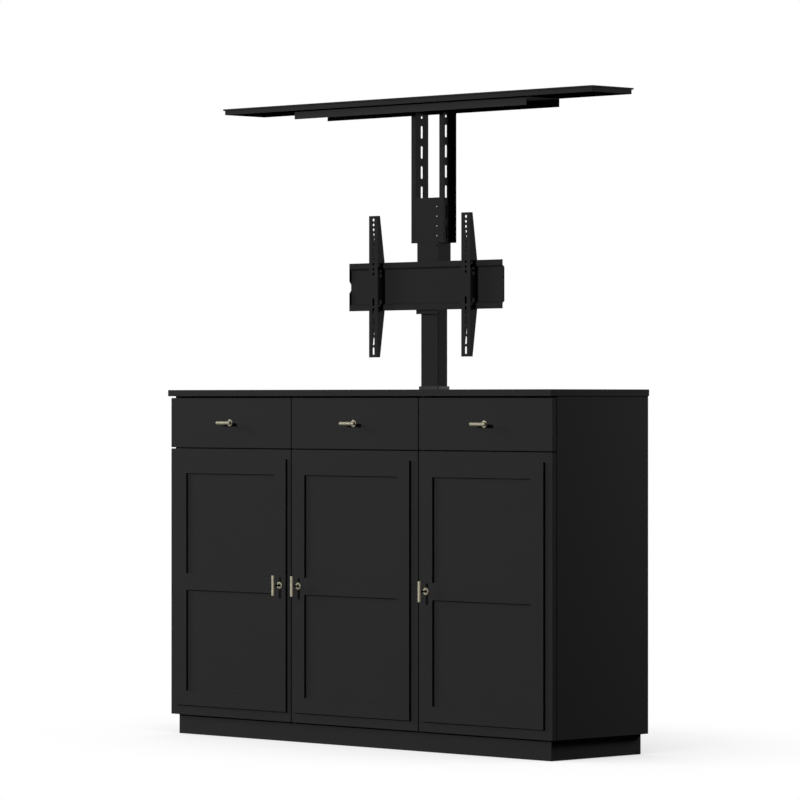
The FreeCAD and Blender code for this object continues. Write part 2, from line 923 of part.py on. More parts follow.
def make_head_bracket():
    """A welded bracket: a wide channel between the uprights over a narrow one round the
    column, with a pad in front for the TV plate."""
    wide = d.upright_gap / 2
    narrow = d.neck_width / 2
    back = upright_y + d.upright_depth
    wide_z = (upright_foot, head_top)
    neck_z = (upright_foot - d.neck_drop, upright_foot + d.neck_rise)
    pad_z = (upright_foot - d.pad_drop, upright_foot - d.pad_drop + d.pad_height)
    web = d.head_sheet
    yoke = cut(
        box((-wide, wide), (upright_y, back), wide_z),
        [box((-wide + web, wide - web), (neck_y, back + 1), (wide_z[0] - 1, wide_z[1] + 1))],
    )
    neck = cut(
        box((-narrow, narrow), (neck_y, back), neck_z),
        [box((-narrow + web, narrow - web), (neck_y + web, back + 1), (neck_z[0] - 1, neck_z[1] + 1))],
    )
    web_back = web_y + d.sheet
    pad = box(spans(size(0), d.pad_width), (web_back, neck_y), pad_z)
    welded = fuse([yoke, neck, pad])
    holes = []
    for step in range(5):
        level = upright_foot - d.hole_first + d.hole_pitch * step
        start = (d.hole_row, upright_y - 1, level)
        holes.append(rod(d.hole_diameter, start, 2 * web + 2, "y"))
    node(cut(welded, holes), "head_bracket")


# ---------------------------------------------------------------- TV plate and arms


def make_tv_plate():
    """A pressed plate: its web is set back from the two lips that the arms hook over, and
    a notched flange closes the web at each end."""
    half_height = d.plate_height / 2
    knee = half_height - d.plate_lip
    bend = knee - d.plate_slope
    back = d.sheet
    body = new_body("plate")
    profile = new_sketch(body, "x", -d.plate_length / 2, "profile")
    front_line = [
        (plate_y, half_height), (plate_y, knee), (web_y, bend),
        (web_y, -bend), (plate_y, -knee), (plate_y, -half_height),
    ]
    back_line = [(y + back, z) for y, z in reversed(front_line)]
    add_outline(profile, [(y, plate_level + z) for y, z in front_line + back_line])
    add_pad(body, profile, d.plate_length)
    for sign in (-1, 1):
        end = d.plate_length / 2 * sign
        start = end if sign < 0 else end - d.sheet
        flange = new_sketch(body, "x", start, "flange")
        mouth = d.notch_mouth / 2
        root = d.notch_root / 2
        add_outline(flange, [(y, plate_level + z) for y, z in [
            (web_y, -bend), (plate_y, -knee), (plate_y, -mouth), (web_y, -root),
            (web_y, root), (plate_y, mouth), (plate_y, knee), (web_y, bend),
            (web_y + back, bend), (web_y + back, -bend),
        ]])
        add_pad(body, flange, d.sheet)
    node(body, "tv_plate")


def make_arm(name, sign):
    """An upright channel, tapered in side view, with hooks that hold it on the plate's lips.
    Its right flange is cut away where the plate passes, to let a spanner in."""
    x0 = d.arm_centre * sign - d.arm_width / 2
    x1 = x0 + d.arm_width
    y0 = arm_y
    y_end = arm_y + d.arm_end_depth
    y_back = arm_y + d.arm_depth
    lip_front = plate_y - d.hook_play
    lip_back = plate_y + d.sheet + d.hook_play
    top = plate_level + d.arm_length / 2
    foot = plate_level - d.arm_length / 2
    lip_top = plate_level + d.plate_height / 2 + d.hook_play
    lip_foot = plate_level - d.plate_height / 2 - d.hook_play
    body = new_body("arm")
    side = new_sketch(body, "x", x0, "side")
    add_outline(side, [
        (y0, foot), (y0, top), (y_end, top),
        (y_back, lip_top), (y_back, lip_top - d.hook_length), (lip_back, lip_top - d.hook_length),
        (lip_back, lip_top), (lip_front, lip_top), (lip_front, lip_foot), (lip_back, lip_foot),
        (lip_back, lip_foot + d.hook_length), (y_back, lip_foot + d.hook_length),
        (y_back, lip_foot), (y_end, foot),
    ])
    add_pad(body, side, d.arm_width)
    hollow = new_sketch(body, "y", y_back, "hollow")
    add_rectangle(hollow, (x0 + d.sheet, x1 - d.sheet), (foot, top))
    add_blind_cut(body, hollow, d.arm_depth - d.sheet, False)
    window = new_sketch(body, "x", x1, "window")
    add_rectangle(window, (y0 + d.sheet, lip_back), (lip_foot, lip_top))
    add_blind_cut(body, window, d.arm_width / 2, False)
    middle = (x0 + x1) / 2
    first_hole = top - d.arm_hole_first
    bolt = new_sketch(body, "y", y0, "bolt_hole")
    add_circle(bolt, middle, first_hole, d.arm_hole)
    bolt_cut = add_blind_cut(body, bolt, d.sheet, True)
    add_row(body, bolt_cut, bolt, 2, -d.arm_hole_pitch * (d.arm_hole_count - 1))
    hole = new_sketch(body, "y", y0, "hole")
    add_slot(hole, middle, first_hole - d.arm_hole_pitch, d.arm_hole, d.arm_hole)
    hole_cut = add_blind_cut(body, hole, d.sheet, True)
    add_row(body, hole_cut, hole, d.arm_hole_count - 2, -d.arm_hole_pitch)
    slot = new_sketch(body, "y", y0, "slot")
    add_slot(slot, middle, foot + d.arm_slot_first, d.arm_hole, d.arm_slot_length)
    slot_cut = add_blind_cut(body, slot, d.sheet, True)
    add_row(body, slot_cut, slot, d.arm_slot_count, d.arm_slot_pitch)
    node(body, f"arm_{name}")


# ---------------------------------------------------------------- telescopic column


def make_tube(name, width, depth, wall, z_span, corner=None):
    """A rectangular tube round the column's axis, with rounded outer corners."""
    body = new_body("tube")
    section = new_sketch(body, "z", z_span[0], "section")
    add_rectangle(section, spans(size(0), width), spans(column_y, depth))
    add_rectangle(section, spans(size(0), width - 2 * wall), spans(column_y, depth - 2 * wall))
    add_pad(body, section, z_span[1] - z_span[0])
    reach = width.number / 2 - 0.01

    def at_outer_corner(edge):
        return abs(edge.Vertexes[0].Point.x) > reach

    round_uprights(body, corner or d.tube_corner, at_outer_corner)
    return node(body, name)


def make_column():
    """Three nested tubes: the outer one fixed, the middle one and the inner one sliding."""
    wall = d.tube_wall
    make_tube("outer_tube", outer_tube_width, outer_tube_depth, wall, (housing_top, bush_foot))
    bush_wall = (outer_tube_width - middle_tube_width) / 2 - d.guide_play
    make_tube("outer_bush", outer_tube_width, outer_tube_depth, bush_wall, (bush_foot, bush_top))
    make_tube("middle_tube", middle_tube_width, middle_tube_depth, wall, (middle_foot, collar_foot))
    collar_wall = (middle_tube_width - d.inner_tube_width) / 2 - d.guide_play + d.collar_rim
    make_tube(
        "middle_collar", middle_tube_width + 2 * d.collar_rim, middle_tube_depth + 2 * d.collar_rim,
        collar_wall, (collar_foot, collar_top),
    )
    make_inner_tube()
    make_screw_nut()
    make_drive_screw()


def make_inner_tube():
    """The top stage, closed by a welded plate that fits inside the head bracket."""
    width = d.inner_tube_width
    depth = d.inner_tube_depth
    body = new_body("top_stage")
    section = new_sketch(body, "z", inner_foot, "section")
    add_rectangle(section, spans(size(0), width), spans(column_y, depth))
    add_rectangle(
        section, spans(size(0), width - 2 * d.tube_wall), spans(column_y, depth - 2 * d.tube_wall)
    )
    add_pad(body, section, cap_under - inner_foot)
    reach = width.number / 2 - 0.01
    round_uprights(body, d.tube_corner, lambda edge: abs(edge.Vertexes[0].Point.x) > reach)
    cap = new_sketch(body, "z", cap_under, "cap")
    inside = d.neck_width - 2 * d.head_sheet
    cap_back = upright_y + d.upright_depth
    add_rectangle(cap, spans(size(0), inside), (neck_y + d.head_sheet, cap_back))
    add_pad(body, cap, d.cap_thick)
    node(body, "inner_tube")


def make_screw_nut():
    """The nut at the foot of the middle stage, through which the drive screw turns."""
    width = middle_tube_width - 2 * d.tube_wall
    depth = middle_tube_depth - 2 * d.tube_wall
    levels = (middle_foot, middle_foot + d.nut_height)
    block = box(spans(size(0), width), spans(column_y, depth), levels)
    bore = rod(
        d.screw_diameter + 2 * d.screw_play, (size(0), column_y, levels[0] - 1), d.nut_height + 2
    )
    node(cut(block, [bore]), "screw_nut")


def make_drive_screw():
    foot = housing_top - d.screw_seat + d.screw_play
    node(rod(d.screw_diameter, (size(0), column_y, foot), d.screw_length), "drive_screw")


# ---------------------------------------------------------------- lift base and drive


def make_lift_base():
    plate = box(spans(size(0), d.base_width), spans(column_y, d.base_depth), (floor_top, base_top))
    node(plate, "lift_base")


def make_drive():
    """A flat worm-gear housing under the column, with an upright motor on its right lobe."""
    body = new_body("housing")
    outline = new_sketch(body, "z", base_top)
    add_rectangle(outline, spans(d.housing_offset, d.housing_width), spans(column_y, d.housing_depth))
    add_pad(body, outline, d.housing_height)
    round_uprights(body, d.housing_corner)
    seat = new_sketch(body, "z", housing_top, "screw_seat")
    add_circle(seat, size(0), column_y, d.screw_diameter + 2 * d.screw_play)
    add_blind_cut(body, seat, d.screw_seat, False)
    node(body, "gear_housing")
    can = rod(d.motor_diameter, (d.motor_offset, column_y, housing_top), d.motor_length)
    cap_foot = housing_top + d.motor_length
    cap = rod(d.motor_cap_diameter, (d.motor_offset, column_y, cap_foot), d.motor_cap_length)
    node(fuse([can, cap]), "drive_motor")


def make_control_box():
    """The lift's control box on the bay floor, with a bare power inlet in its left end."""
    left = d.control_left
    back = back_y - d.back_thick - 2 * d.front_gap
    case = box(
        (left, left + d.control_length), (back - d.control_depth, back),
        (floor_top, floor_top + d.control_height),
    )
    inlet = box(
        (left - 1, left + d.inlet_depth),
        spans(back - d.control_depth / 2, d.inlet_width),
        spans(floor_top + d.control_height / 2, d.inlet_height),
    )
    node(cut(case, [inlet]), "control_box")


# ---------------------------------------------------------------- assembly and export

make_plinth()
make_bottom()
make_sides()
make_divider()
make_partitions()
make_drawer_rails()
make_shelves()
make_back()
make_top()
make_fixed_runners()
make_hinge_arms()
for bay_index, bay_name in enumerate(BAYS):
    make_drawer(bay_index, bay_name)
    make_door(bay_index, bay_name)
make_lid()
make_tray()
for side_name, side_sign in SIDES:
    make_upright(side_name, side_sign)
    make_arm(side_name, side_sign)
make_head_bracket()
make_tv_plate()
make_column()
make_lift_base()
make_drive()
make_control_box()
doc.recompute()

for item in doc.Objects:
    if "Invalid" in item.State or "Error" in item.State:
        raise RuntimeError(f"{item.Label} ({item.Name}) failed: {item.State}")
for item in nodes:
    if item.Shape.isNull() or not item.Shape.isValid() or not item.Shape.Solids:
        raise RuntimeError(f"{item.Label} has no valid solid")

os.makedirs("parts", exist_ok=True)
for item in nodes:
    item.Shape.exportStep(f"parts/{item.Label}.step")
print(f"{len(nodes)} sub-parts written")
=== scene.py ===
import json
import math
import bmesh
import bpy
from mathutils import Matrix, Vector


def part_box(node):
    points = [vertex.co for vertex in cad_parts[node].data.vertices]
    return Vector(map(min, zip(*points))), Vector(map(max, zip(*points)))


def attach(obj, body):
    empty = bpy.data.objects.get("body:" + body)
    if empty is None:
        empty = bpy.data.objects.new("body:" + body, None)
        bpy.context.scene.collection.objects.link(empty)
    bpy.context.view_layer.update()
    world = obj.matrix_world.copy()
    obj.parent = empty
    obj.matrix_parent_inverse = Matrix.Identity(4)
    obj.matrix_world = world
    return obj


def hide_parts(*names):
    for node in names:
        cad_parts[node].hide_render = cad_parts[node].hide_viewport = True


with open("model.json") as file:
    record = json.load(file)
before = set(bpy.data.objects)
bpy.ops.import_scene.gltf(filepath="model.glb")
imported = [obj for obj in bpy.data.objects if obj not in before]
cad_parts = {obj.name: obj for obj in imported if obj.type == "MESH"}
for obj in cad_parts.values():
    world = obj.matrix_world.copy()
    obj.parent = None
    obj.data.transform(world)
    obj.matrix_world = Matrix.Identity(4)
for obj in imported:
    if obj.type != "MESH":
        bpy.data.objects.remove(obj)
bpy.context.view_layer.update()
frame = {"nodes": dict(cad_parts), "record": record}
record = frame["record"]
nodes = frame["nodes"]
riders = {node: body for body, members in record["behaviour"]["bodies"].items() for node in members}
bays = ("left", "middle", "right")


# Helpers for lengths, colours and shader nodes

def mm(*lengths):  # millimetres to metres: one length, or a place
    return Vector(lengths) / 1000 if len(lengths) > 1 else lengths[0] / 1000


def linear(hexColour):  # sRGB to the linear values that shaders take
    channels = [int(hexColour[i:i + 2], 16) / 255 for i in (1, 3, 5)]
    return [c / 12.92 if c <= 0.04045 else ((c + 0.055) / 1.055) ** 2.4 for c in channels] + [1]


def perMillimetre(size):  # noise scale whose features are about this many millimetres
    return 1000 / size


def addNode(tree, kind, values=None, links=None, **settings):
    made = tree.nodes.new(kind)
    for name, value in settings.items():
        setattr(made, name, value)
    for socket, value in (values or {}).items():
        made.inputs[socket].default_value = value
    for socket, source in (links or {}).items():
        tree.links.new(source, made.inputs[socket])
    return made


def startMaterial(name, constants):
    material = bpy.data.materials.new(name)
    material.use_nodes = True
    tree = material.node_tree
    tree.nodes.clear()
    shader = addNode(tree, "ShaderNodeBsdfPrincipled", constants)
    addNode(tree, "ShaderNodeOutputMaterial", links={"Surface": shader.outputs[0]})
    place = addNode(tree, "ShaderNodeTexCoord").outputs["Object"]
    return material, tree, shader, place


def finishMaterial(tree, shader, tint, sheen, bump):
    tree.links.new(tint.outputs["Result"], shader.inputs["Base Color"])
    tree.links.new(sheen.outputs["Result"], shader.inputs["Roughness"])
    tree.links.new(bump.outputs["Normal"], shader.inputs["Normal"])


# Finishes

def blackCoat(name, look):
    # a black coat that scatters nearly all of its light: soft clouds of tone from the spray gun,
    # orange peel that shows only close up, and hardly any gloss
    drift, depth = 0.06, mm(0.15)  # how far the roughness drifts, how deep the peel is
    material, tree, shader, place = startMaterial(name, {"Specular IOR Level": look["gloss"]})
    cloud = addNode(tree, "ShaderNodeTexNoise", {"Scale": perMillimetre(look["cloud"]), "Detail": 3.0},
                    {"Vector": place}).outputs["Fac"]
    tint = addNode(tree, "ShaderNodeMix", {"A": linear(look["dark"]), "B": linear(look["light"])},
                   {"Factor": cloud}, data_type="RGBA")
    sheen = addNode(tree, "ShaderNodeMapRange",
                    {"From Min": 0.3, "From Max": 0.7, "To Min": look["rough"] - drift,
                     "To Max": look["rough"] + drift}, {"Value": cloud})
    peel = addNode(tree, "ShaderNodeTexNoise", {"Scale": perMillimetre(look["peel"]), "Detail": 1.0},
                   {"Vector": place}).outputs["Fac"]
    bump = addNode(tree, "ShaderNodeBump", {"Strength": look["bump"], "Distance": depth}, {"Height": peel})
    finishMaterial(tree, shader, tint, sheen, bump)
    return material


def blackFoil(name, look, grain):
    # a thin black facing with embossed pores that run along the board
    drift, depth = 0.08, mm(0.1)  # of the roughness, of the pores
    material, tree, shader, place = startMaterial(name, {"Specular IOR Level": look["gloss"]})
    scale = [perMillimetre(look["poreWidth"])] * 3
    scale[grain] = perMillimetre(look["poreLength"])
    stretched = addNode(tree, "ShaderNodeMapping", {"Scale": scale}, {"Vector": place}).outputs["Vector"]
    pores = addNode(tree, "ShaderNodeTexNoise", {"Scale": 1.0, "Detail": 2.0, "Roughness": 0.6},
                    {"Vector": stretched}).outputs["Fac"]
    tint = addNode(tree, "ShaderNodeMix", {"A": linear(look["dark"]), "B": linear(look["light"])},
                   {"Factor": pores}, data_type="RGBA")
    sheen = addNode(tree, "ShaderNodeMapRange",
                    {"To Min": look["rough"] - drift, "To Max": look["rough"] + drift}, {"Value": pores})
    bump = addNode(tree, "ShaderNodeBump", {"Strength": look["bump"], "Distance": depth}, {"Height": pores})
    finishMaterial(tree, shader, tint, sheen, bump)
    return material


def bareMetal(name, look):
    # metal whose tone drifts in soft clouds and whose roughness follows fine brush lines
    drift, depth = 0.1, mm(0.05)  # of the roughness, of the brush lines
    material, tree, shader, place = startMaterial(name, {"Metallic": 1.0})
    cloud = addNode(tree, "ShaderNodeTexNoise", {"Scale": perMillimetre(look["cloud"]), "Detail": 3.0},
                    {"Vector": place}).outputs["Fac"]
    tint = addNode(tree, "ShaderNodeMix", {"A": linear(look["dark"]), "B": linear(look["light"])},
                   {"Factor": cloud}, data_type="RGBA")
    scale = [perMillimetre(width) for width in look["brush"]]
    along = addNode(tree, "ShaderNodeMapping", {"Scale": scale}, {"Vector": place}).outputs["Vector"]
    brush = addNode(tree, "ShaderNodeTexNoise", {"Scale": 1.0, "Detail": 2.0},
                    {"Vector": along}).outputs["Fac"]
    sheen = addNode(tree, "ShaderNodeMapRange",
                    {"To Min": look["rough"] - drift, "To Max": look["rough"] + drift}, {"Value": brush})
    bump = addNode(tree, "ShaderNodeBump", {"Strength": look["bump"], "Distance": depth}, {"Height": brush})
    finishMaterial(tree, shader, tint, sheen, bump)
    return material


# Looks: clouds, peel, pores and brush lines are sizes in millimetres; pores and brush lines are drawn a few
# times coarser than they are, so that they show

# matt lacquer sprayed on fibreboard: an even black with hardly any shine
lacquerLook = {"dark": "#2a2a2a", "light": "#2d2d2d", "rough": 0.75, "gloss": 0.005,
               "cloud": 160, "peel": 2.2, "bump": 0.12}
# powder baked on sheet steel: a little darker, with a finer peel
powderLook = {"dark": "#262626", "light": "#292929", "rough": 0.7, "gloss": 0.005,
              "cloud": 60, "peel": 1.2, "bump": 0.2}
# the lid tray's powder: a greyer black
trayLook = {"dark": "#2d2d2d", "light": "#303030", "rough": 0.7, "gloss": 0.005,
            "cloud": 90, "peel": 1.2, "bump": 0.2}
# painted shade for the lid's downward faces: a near-black, very rough board without gloss
lidUndersideShadeLook = {"dark": "#0b0b0b", "light": "#101010", "rough": 0.95, "gloss": 0.0,
            "cloud": 30, "peel": 0.9, "bump": 0.3}
# injection-moulded ABS with an eroded grain: a soft, cool sheen
absLook = {"dark": "#1d1d1e", "light": "#202021", "rough": 0.6, "gloss": 0.15,
           "cloud": 40, "peel": 0.8, "bump": 0.25}
# melamine paper pressed on chipboard: pores that catch a faint light along the board
melamineLook = {"dark": "#232324", "light": "#2b2b2c", "rough": 0.6, "gloss": 0.15,
                "poreWidth": 1.4, "poreLength": 40, "bump": 0.3}
# printed foil wrapped round the drawer boards: graphite with long lighter streaks
drawerLook = {"dark": "#2c2b2a", "light": "#3a3938", "rough": 0.6, "gloss": 0.15,
              "poreWidth": 1.8, "poreLength": 70, "bump": 0.3}
# steel pressed from drawn strip, then zinc plated: bright and slightly blue, with lines along the strip
zincLook = {"dark": "#a9acb0", "light": "#c3c6c9", "rough": 0.38,
            "cloud": 12, "brush": (0.5, 8, 0.5), "bump": 0.1}
# brass turned and brushed, with a champagne tone: pale, with a wide soft shine
brassLook = {"dark": "#7a7666", "light": "#848070", "rough": 0.55,
             "cloud": 9, "brush": (0.35, 0.35, 0.35), "bump": 0.08}
# the same brass with painted shade, for the stud that sits in the shade behind the bar: a dim brown with a
# tighter shine
shadeDarkenedBrassLook = {"dark": "#2e2b24", "light": "#3a362c", "rough": 0.45,
                 "cloud": 9, "brush": (0.35, 0.35, 0.35), "bump": 0.08}

lacquer = blackCoat("sprayedBlackLacquer", lacquerLook)
powder = blackCoat("blackPowderCoat", powderLook)
trayPowder = blackCoat("charcoalPowderCoat", trayLook)
lidUndersideShadeBoard = blackCoat("paintedShadeLidUnderside", lidUndersideShadeLook)
plastic = blackCoat("mouldedBlackAbs", absLook)
boardAlongX = blackFoil("blackMelamineAcross", melamineLook, 0)
boardAlongZ = blackFoil("blackMelamineUpright", melamineLook, 2)
drawerFoil = blackFoil("graphiteFoil", drawerLook, 0)
zinc = bareMetal("zincPlatedSteel", zincLook)
brass = bareMetal("brushedChampagneBrass", brassLook)
shadeDarkenedBrass = bareMetal("shadeDarkenedBrass", shadeDarkenedBrassLook)
print("finishes mixed")


# Making pieces: lengths in millimetres, angles in degrees

shaping = {"weld": 0.01, "flatBelow": 0.5, "roundAbove": 40, "segments": 2, "creaseAbove": 35}


def camel(node):
    # a node of one word gets a second one
    first, *rest = node.split("_")
    return first + "".join(word.title() for word in rest or ["boards"])


def newPiece(name, form, body, materials, stands=()):
    mesh = bpy.data.meshes.new(name)
    form.to_mesh(mesh)
    form.free()
    mesh.shade_smooth()
    mesh.set_sharp_from_angle(angle=math.radians(shaping["creaseAbove"]))
    for material in materials:
        mesh.materials.append(material)
    piece = bpy.data.objects.new(name, mesh)
    bpy.context.scene.collection.objects.link(piece)
    even = piece.modifiers.new("evenNormals", "WEIGHTED_NORMAL")  # flat faces stay flat beside round edges
    even.keep_sharp = True
    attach(piece, body)
    if stands:
        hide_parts(*stands)


def mergedCopy(node):
    # a node's solids, each merged on its own, so that boards that touch stay apart; a solid's triangles
    # follow one another until every edge has been met twice
    mesh = nodes[node].data
    form, solid, openEdges = bmesh.new(), bmesh.new(), set()
    for triangle in mesh.polygons:
        spots = [mesh.vertices[index].co for index in triangle.vertices]
        keys = [tuple(round(value * 1e6) for value in spot) for spot in spots]
        solid.faces.new([solid.verts.new(spot) for spot in spots])
        for pair in zip(keys, keys[1:] + keys[:1]):
            openEdges ^= {frozenset(pair)}
        if not openEdges:
            join(form, flattened(solid), Matrix())
            solid = bmesh.new()
    join(form, flattened(solid), Matrix())
    return form


def flattened(form):
    # welded triangles, made into flat faces
    bmesh.ops.remove_doubles(form, verts=form.verts, dist=mm(shaping["weld"]))
    bmesh.ops.dissolve_limit(form, angle_limit=math.radians(shaping["flatBelow"]), verts=form.verts,
                             edges=form.edges)
    bmesh.ops.connect_verts_concave(form, faces=form.faces)
    return form


def roundEdges(form, edge, shortest=0):
    # leaves out the rims of small holes, whose edges are under the shortest length
    bmesh.ops.connect_verts_concave(form, faces=form.faces)
    rims = {v for e in form.edges if e.calc_length() * 1000 < shortest for v in e.verts}
    sharpest = math.radians(shaping["roundAbove"])
    sharp = [e for e in form.edges if len(e.link_faces) == 2 and e.calc_face_angle() > sharpest
             and not rims.intersection(e.verts)]
    bmesh.ops.bevel(form, geom=sharp, offset=mm(edge), offset_type="OFFSET", segments=shaping["segments"],
                    profile=0.5, affect="EDGES", material=-1, clamp_overlap=False)
    return form


def turned(profile, steps, closed=False):
    # a form turned round the z axis from (radius, height) points; a closed profile makes a ring
    form = bmesh.new()
    points = [form.verts.new(mm(radius, 0, height)) for radius, height in profile]
    ends = points[1:] + points[:1] if closed else points[1:]
    line = [form.edges.new(pair) for pair in zip(points, ends)]
    bmesh.ops.spin(form, geom=points + line, axis=(0, 0, 1), cent=(0, 0, 0), angle=math.tau, steps=steps,
                   use_merge=True)
    bmesh.ops.remove_doubles(form, verts=form.verts, dist=mm(shaping["weld"] / 2))
    bmesh.ops.recalc_face_normals(form, faces=form.faces)
    return form


def join(form, part, matrix):
    # adds a finished part to a form, in its place
    part.transform(matrix)
    mesh = bpy.data.meshes.new("part")
    part.to_mesh(mesh)
    part.free()
    form.from_mesh(mesh)
    bpy.data.meshes.remove(mesh)


def stand(place, outward):
    # puts a part that was made along z at its place, pointing outward
    return Matrix.Translation(mm(*place)) @ Vector(outward).to_track_quat("Z", "X").to_matrix().to_4x4()


def corners(node):
    # a node's lowest and highest corners
    return [corner * 1000 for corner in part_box(node)]


# Boards and sheet metal: each keeps its node's shape and gets its real rounded edges and finish
dressing = {
    lacquer: (0.8, ["top_panel", "side_left", "side_right", "plinth_long_boards", "plinth_end_boards",
                    *["drawer_front_" + bay for bay in bays], *["door_panel_" + bay for bay in bays],
                    *["door_frame_" + bay for bay in bays]]),
    boardAlongX: (0.5, ["bottom_panel", "bay_divider", "drawer_rails", "shelves"]),
    boardAlongZ: (0.5, ["partition_left", "partition_right"]),
    drawerFoil: (0.6, ["drawer_box_" + bay for bay in bays]),
    trayPowder: (0.35, ["lid_tray"]),
    powder: (0.35, ["head_bracket", "tv_plate", "inner_tube", "middle_tube", "outer_tube", "lift_base",
                    "gear_housing", "drive_motor"]),
    plastic: (0.3, ["outer_bush", "middle_collar", "screw_nut", "control_box"]),
    zinc: (0.25, ["shelf_angles", "hinge_arms", "fixed_runners",
                  *["hinge_cups_" + bay for bay in bays], *["drawer_runners_" + bay for bay in bays]]),
}
for finish, (edge, names) in dressing.items():
    for node in names:
        form = roundEdges(mergedCopy(node), edge)
        newPiece(camel(node), form, riders[node], [finish], [node])
print("boards and sheet metal dressed")


# Lid: lacquered like the top, with painted shade on the faces that look down, which take a near-black board
lidLook = {"edge": 0.8, "facesDown": -0.9}
form = roundEdges(mergedCopy("lid"), lidLook["edge"])
# faces that look down get the painted shade
for face in form.faces:
    face.material_index = int(face.normal.z < lidLook["facesDown"])
newPiece("lidBoard", form, riders["lid"], [lacquer, lidUndersideShadeBoard], ["lid"])


# Back panel: its face lies a hair deeper than the side boards, so that the screw heads end flush
backLook = {"recess": 0.8, "edge": 0.5, "outerFace": 1, "columns": 9, "rows": 6, "margin": 14}
form = mergedCopy("back_panel")
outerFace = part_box("back_panel")[1].y - mm(backLook["outerFace"])
for corner in form.verts:
    if corner.co.y > outerFace:
        corner.co.y -= mm(backLook["recess"])
newPiece("backPanel", roundEdges(form, backLook["edge"]), "cabinet", [boardAlongX],
         ["back_panel"])


# Slotted sheet metal: the eight-sided holes and slot ends become round, and the arms' hooks rest on the
# plate's lips, with a brow over and under the window beside them
punched = {"sheet": 2, "throughEdge": 2.5, "bendSlack": 0.02, "coat": 0.35, "arc": 1.6, "segments": 5,
           "edge": 0.35, "shortest": 1.5, "hookPlay": 0.3, "brow": 1.8, "slack": 0.05}
eighth = math.pi / 4  # the turn between two sides of an octagon
lipFoot, lipTop = (corner.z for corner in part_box("tv_plate"))
for node in ("arm_left", "arm_right", "upright_left", "upright_right"):
    form = mergedCopy(node)
    bends = [e for e in form.edges if e.calc_length() < mm(punched["throughEdge"])
             and len(e.link_faces) == 2 and abs(e.calc_face_angle() - eighth) < punched["bendSlack"]]
    inward = {bend: (bend.link_faces[0].normal + bend.link_faces[1].normal) / (1 + math.cos(eighth))
              for bend in bends}
    for bend, way in inward.items():  # the coat narrows every hole
        for v in bend.verts:
            v.co += way * mm(punched["coat"])
    bmesh.ops.bevel(form, geom=bends, offset=mm(punched["arc"]), offset_type="OFFSET", profile=0.5,
                    segments=punched["segments"], affect="EDGES", material=-1, clamp_overlap=True)
    if node.startswith("arm"):
        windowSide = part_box(node)[1].x - mm(punched["sheet"] + 2 * punched["slack"])
        for v in form.verts:
            for lip, way in ((lipTop, 1), (lipFoot, -1)):
                if 0 < (v.co.z - lip) * way < mm(punched["hookPlay"] + punched["slack"]):
                    v.co.z = lip - way * mm(punched["brow"]) * (v.co.x > windowSide)
    form = roundEdges(form, punched["edge"], punched["shortest"])
    newPiece(camel(node), form, riders[node], [powder], [node])
print("slotted sheet metal punched")


# Handles: a turned bar on a slim stud, which stands in the hollow of a rounded rose
handle = {"barLength": 60, "barRadius": 5.24, "barChamfer": 0.8, "barCorner": 0.25, "reach": 27.5,
          "rose": [(0, 0), (10.5, 0), (10.5, 1.9), (10.2, 2.6), (9.4, 3), (6, 3), (5.3, 2.7), (4.9, 1.2),
                   (0, 1.2)],
          "stud": [(0, 1), (3.2, 1), (3.2, 7), (2.6, 8), (2.6, 20), (3.2, 21), (3.2, 25), (0, 25)],
          "steps": 40, "studSteps": 24}
half, radius = handle["barLength"] / 2, handle["barRadius"]
chamfer, corner = handle["barChamfer"], handle["barCorner"]
barProfile = [(0, -half), (radius - chamfer, -half), (radius - corner, -half + corner),
              (radius, -half + chamfer), (radius, half - chamfer), (radius - corner, half - corner),
              (radius - chamfer, half), (0, half)]
for node in [kind + "_handle_" + bay for kind in ("drawer", "door") for bay in bays]:
    low, high = corners(node)
    form = bmesh.new()
    place = stand(((low.x + high.x) / 2, high.y, (low.z + high.z) / 2), (0, -1, 0))
    reach = Matrix.Translation(mm(0, 0, handle["reach"]))
    lie = Matrix.Rotation(math.pi / 2, 4, "Y" if node.startswith("door") else "X")  # upright on a door
    join(form, turned(handle["rose"], handle["steps"]), place)
    join(form, turned(barProfile, handle["steps"]), place @ reach @ lie)
    brassFaces = len(form.faces)
    join(form, turned(handle["stud"], handle["studSteps"]), place)
    # the stud's faces take the brass darkened with painted shade
    for face in list(form.faces)[brassFaces:]:
        face.material_index = 1
    newPiece(camel(node), form, riders[node], [brass, shadeDarkenedBrass], [node])
print("handles turned")


# Drive screw: a left-hand thread with two starts, which lifts the nut by one lead for each turn
thread = {"lead": 10, "starts": 2, "steps": 12, "weld": 0.02,
          "tooth": ((4.9, 0), (4.9, 0.42), (5.9, 0.54), (5.9, 0.88)),  # radius, and share of the pitch
          "journal": 18, "journalRadius": 5.6, "journalChamfer": 0.6, "journalSteps": 24}
low, high = corners("drive_screw")
axle = ((low.x + high.x) / 2, (low.y + high.y) / 2, 0)
lead, steps, journal = thread["lead"], thread["steps"], thread["journal"]
turns = math.ceil((high.z - low.z) / lead) + 2
form = bmesh.new()
line = [form.verts.new(mm(radius, 0, high.z + lead / thread["starts"] * (start + share)))
        for start in range(thread["starts"]) for radius, share in thread["tooth"]]
line.append(form.verts.new(mm(thread["tooth"][0][0], 0, high.z + lead)))
line += [form.edges.new(pair) for pair in zip(line, line[1:])]
bmesh.ops.spin(form, geom=line, axis=(0, 0, 1), cent=(0, 0, 0), dvec=(0, 0, -mm(lead / steps)),
               angle=math.tau * turns, steps=steps * turns)
bmesh.ops.remove_doubles(form, verts=form.verts, dist=mm(thread["weld"]))
for height, way in ((high.z - journal, 1), (low.z + journal, -1)):
    bmesh.ops.bisect_plane(form, geom=form.verts[:] + form.edges[:] + form.faces[:],
                           plane_co=mm(0, 0, height), plane_no=(0, 0, way), clear_outer=True)
bmesh.ops.holes_fill(form, edges=form.edges)
bmesh.ops.recalc_face_normals(form, faces=form.faces)
radius, chamfer = thread["journalRadius"], thread["journalChamfer"]
